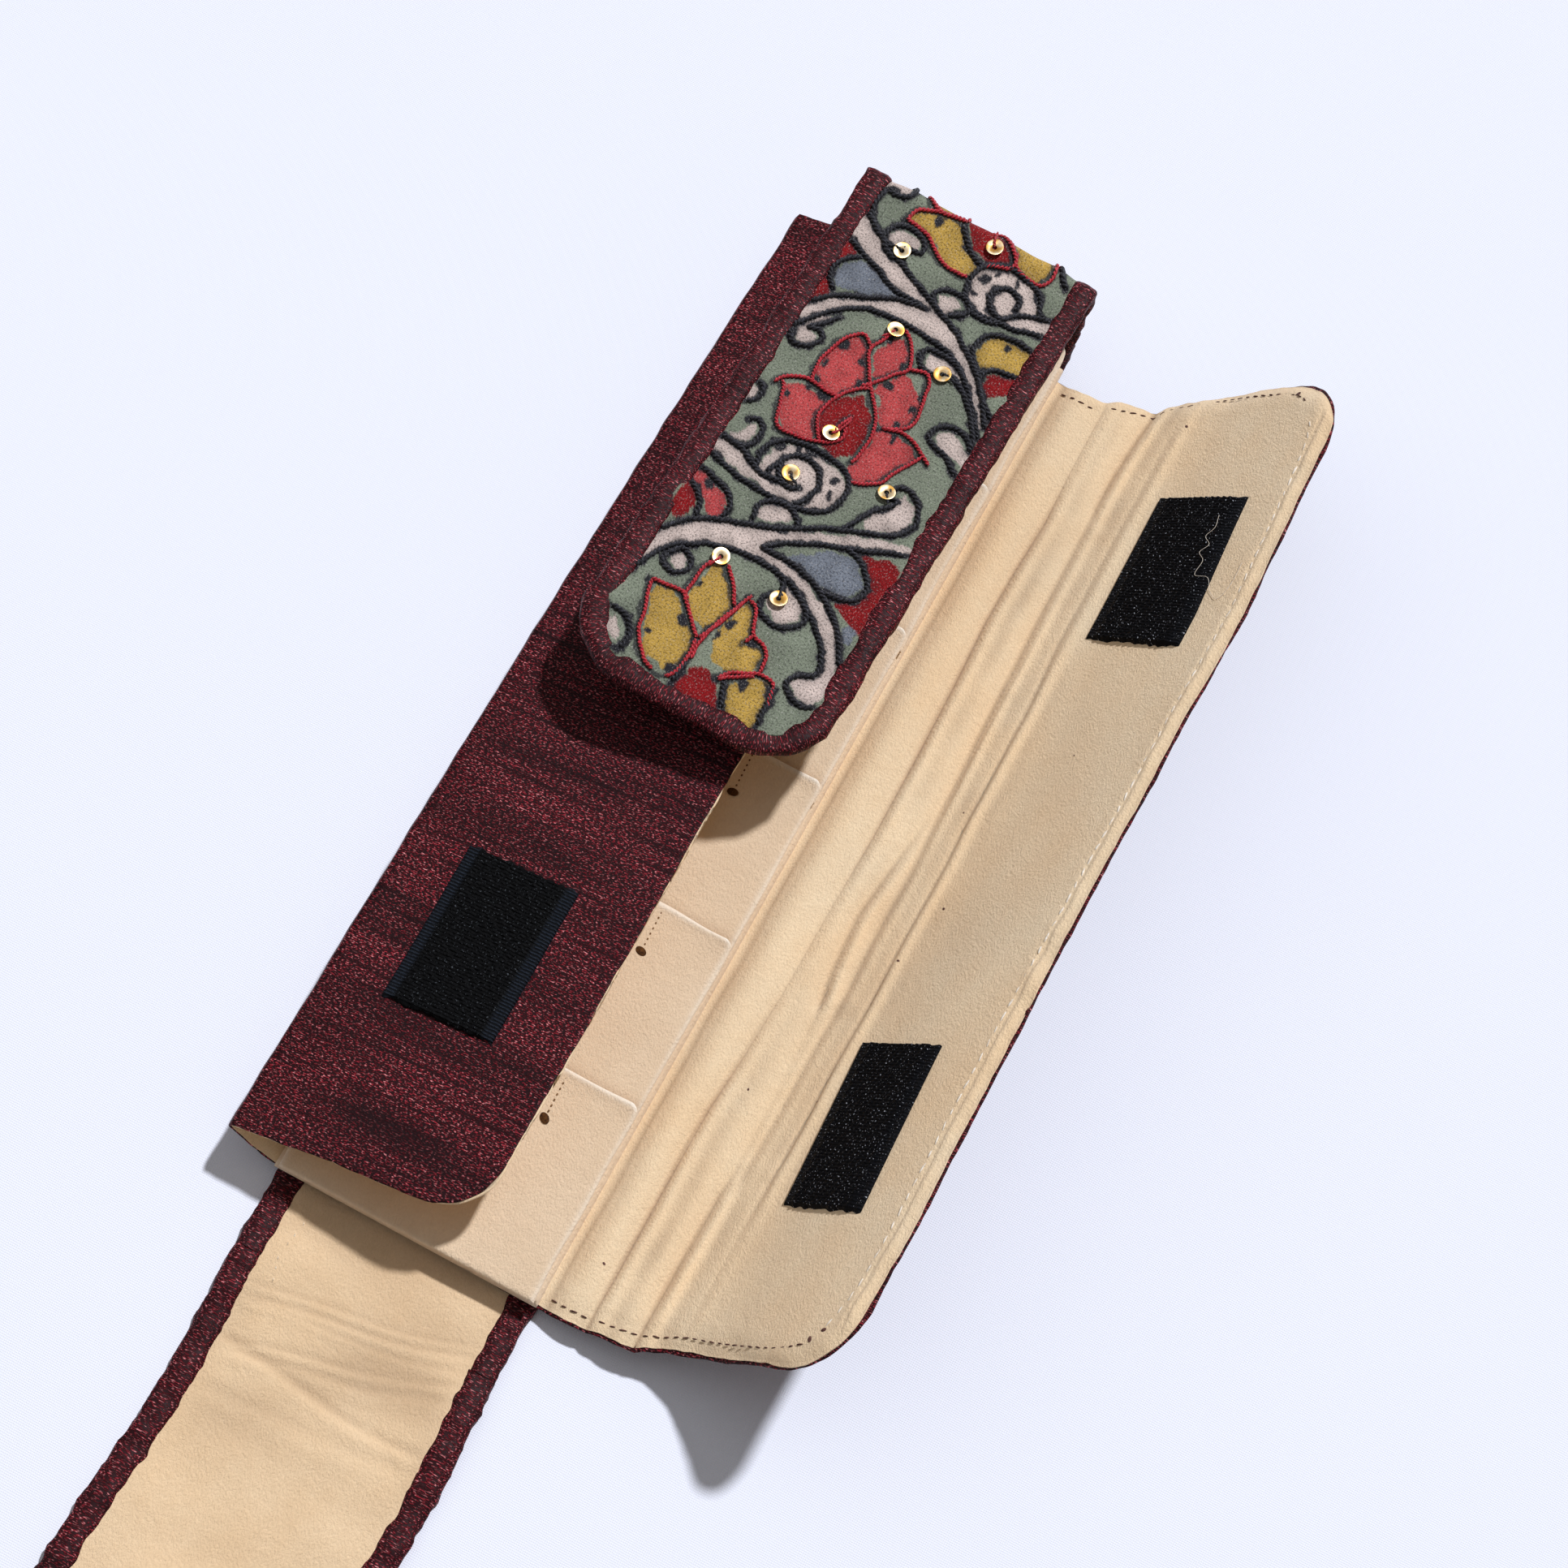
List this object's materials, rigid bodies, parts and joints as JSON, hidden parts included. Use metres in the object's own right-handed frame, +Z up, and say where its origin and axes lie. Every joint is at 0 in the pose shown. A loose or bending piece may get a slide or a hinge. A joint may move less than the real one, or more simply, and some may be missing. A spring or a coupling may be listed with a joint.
{
  "type": "earring pouch",
  "caption": "Long folding silk case for pierced earrings: hinged cloth leaves on a base, two flaps with hook and loop patches, and a bound embroidered strap.",
  "frame": {"origin": "middle of the strap's underside, on the plane that the pouch lies on", "axes": "+Z up, +Y along the case towards the strap's folded end, +X across the case towards the flap that lies open"},
  "size_m": [0.1366, 0.4475, 0.0473],
  "materials": {
    "silk": "slubbed dark maroon silk, slightly glossy",
    "lining": "plain beige cotton, matt",
    "strap_lining": "plain golden beige cotton, matt",
    "panel": "sage cotton with a painted and stitched floral pattern",
    "board": "plain board, hidden inside the cloth",
    "tape": "black hook and loop tape"
  },
  "bodies": {
    "base": {"base_silk": "silk", "base_board": "board", "base_lining": "lining", "strap_middle_panel": "panel", "strap_middle_lining": "strap_lining", "strap_middle_binding_left": "silk", "strap_middle_binding_right": "silk"},
    "left_wall": {"left_wall_silk": "silk", "left_wall_lining": "lining"},
    "left_flap": {"left_flap_silk": "silk", "left_flap_stiffener": "board", "left_flap_lining": "lining", "loop_patch_lower": "tape", "loop_patch_upper": "tape"},
    "right_spine": {"right_spine_silk": "silk", "right_spine_lining": "lining"},
    "right_flap": {"right_flap_silk": "silk", "right_flap_stiffener": "board", "right_flap_lining": "lining", "hook_patch_lower": "tape", "hook_patch_upper": "tape"},
    "strap_top_riser": {"strap_top_riser_panel": "panel", "strap_top_riser_lining": "strap_lining", "strap_top_riser_binding_left": "silk", "strap_top_riser_binding_right": "silk"},
    "strap_top_flap": {"strap_top_flap_panel": "panel", "strap_top_flap_lining": "strap_lining", "strap_top_flap_binding": "silk", "hook_patch_strap": "tape"},
    "strap_tail_riser": {"strap_tail_riser_panel": "panel", "strap_tail_riser_lining": "strap_lining", "strap_tail_riser_binding_left": "silk", "strap_tail_riser_binding_right": "silk"},
    "strap_tail_flap": {"strap_tail_flap_panel": "panel", "strap_tail_flap_lining": "strap_lining", "strap_tail_flap_binding": "silk", "loop_patch_strap": "tape"},
    "leaf_1": {"leaf_1_board": "board", "leaf_1_cover": "lining"},
    "leaf_2": {"leaf_2_board": "board", "leaf_2_cover": "lining"},
    "leaf_3": {"leaf_3_board": "board", "leaf_3_cover": "lining"},
    "leaf_4": {"leaf_4_board": "board", "leaf_4_cover": "lining"},
    "leaf_5": {"leaf_5_board": "board", "leaf_5_cover": "lining"},
    "leaf_6": {"leaf_6_board": "board", "leaf_6_cover": "lining"}
  },
  "joints": [
    {"name": "strap_top_fold", "type": "hinge", "parent": "strap_top_riser", "child": "strap_top_flap", "pos_m": [0, 0.14005, 0.02708], "axis": [-1, 0, 0], "range_deg": [0, 100]},
    {"name": "strap_top_riser_fold", "type": "hinge", "parent": "base", "child": "strap_top_riser", "pos_m": [0, 0.1334, 0.0004], "axis": [-1, 0, 0], "range_deg": [0, 75]},
    {"name": "left_wall_fold", "type": "hinge", "parent": "base", "child": "left_wall", "pos_m": [-0.0326, 0, 0.00345], "axis": [0, -1, 0], "range_deg": [0, 32]},
    {"name": "left_flap_fold", "type": "hinge", "parent": "left_wall", "child": "left_flap", "pos_m": [-0.04258, 0, 0.01298], "axis": [0, -1, 0], "range_deg": [0, 36]},
    {"name": "leaf_1_fold", "type": "hinge", "parent": "base", "child": "leaf_1", "pos_m": [0, -0.131, 0.00783], "axis": [1, 0, 0], "range_deg": [0, 22]},
    {"name": "leaf_2_fold", "type": "hinge", "parent": "base", "child": "leaf_2", "pos_m": [0, -0.0878, 0.00783], "axis": [1, 0, 0], "range_deg": [0, 22]},
    {"name": "leaf_3_fold", "type": "hinge", "parent": "base", "child": "leaf_3", "pos_m": [0, -0.0446, 0.00783], "axis": [1, 0, 0], "range_deg": [0, 22]},
    {"name": "leaf_4_fold", "type": "hinge", "parent": "base", "child": "leaf_4", "pos_m": [0, -0.0014, 0.00783], "axis": [1, 0, 0], "range_deg": [0, 22]},
    {"name": "leaf_5_fold", "type": "hinge", "parent": "base", "child": "leaf_5", "pos_m": [0, 0.0418, 0.00783], "axis": [1, 0, 0], "range_deg": [0, 22]},
    {"name": "leaf_6_fold", "type": "hinge", "parent": "base", "child": "leaf_6", "pos_m": [0, 0.085, 0.00783], "axis": [1, 0, 0], "range_deg": [0, 22]},
    {"name": "right_spine_fold", "type": "hinge", "parent": "base", "child": "right_spine", "pos_m": [0.0326, 0, 0.00345], "axis": [0, -1, 0], "range_deg": [-14, 62]},
    {"name": "right_flap_fold", "type": "hinge", "parent": "right_spine", "child": "right_flap", "pos_m": [0.0572, 0, 0.00805], "axis": [0, 1, 0], "range_deg": [-82, 50]},
    {"name": "strap_tail_riser_fold", "type": "hinge", "parent": "base", "child": "strap_tail_riser", "pos_m": [0, -0.1342, 0.0004], "axis": [1, 0, 0], "range_deg": [-90, 0]},
    {"name": "strap_tail_fold", "type": "hinge", "parent": "strap_tail_riser", "child": "strap_tail_flap", "pos_m": [0, -0.1622, 0.0004], "axis": [1, 0, 0], "range_deg": [-85, 0]}
  ],
  "couplings": [
    {"joint": "strap_top_riser_fold", "follows": "strap_top_fold", "ratio": 0.75},
    {"joint": "left_wall_fold", "follows": "strap_top_fold", "ratio": 0.32},
    {"joint": "left_flap_fold", "follows": "strap_top_fold", "ratio": 0.36},
    {"joint": "leaf_1_fold", "follows": "strap_top_fold", "ratio": 0.22},
    {"joint": "leaf_2_fold", "follows": "strap_top_fold", "ratio": 0.22},
    {"joint": "leaf_3_fold", "follows": "strap_top_fold", "ratio": 0.22},
    {"joint": "leaf_4_fold", "follows": "strap_top_fold", "ratio": 0.22},
    {"joint": "leaf_5_fold", "follows": "strap_top_fold", "ratio": 0.22},
    {"joint": "leaf_6_fold", "follows": "strap_top_fold", "ratio": 0.22}
  ]
}
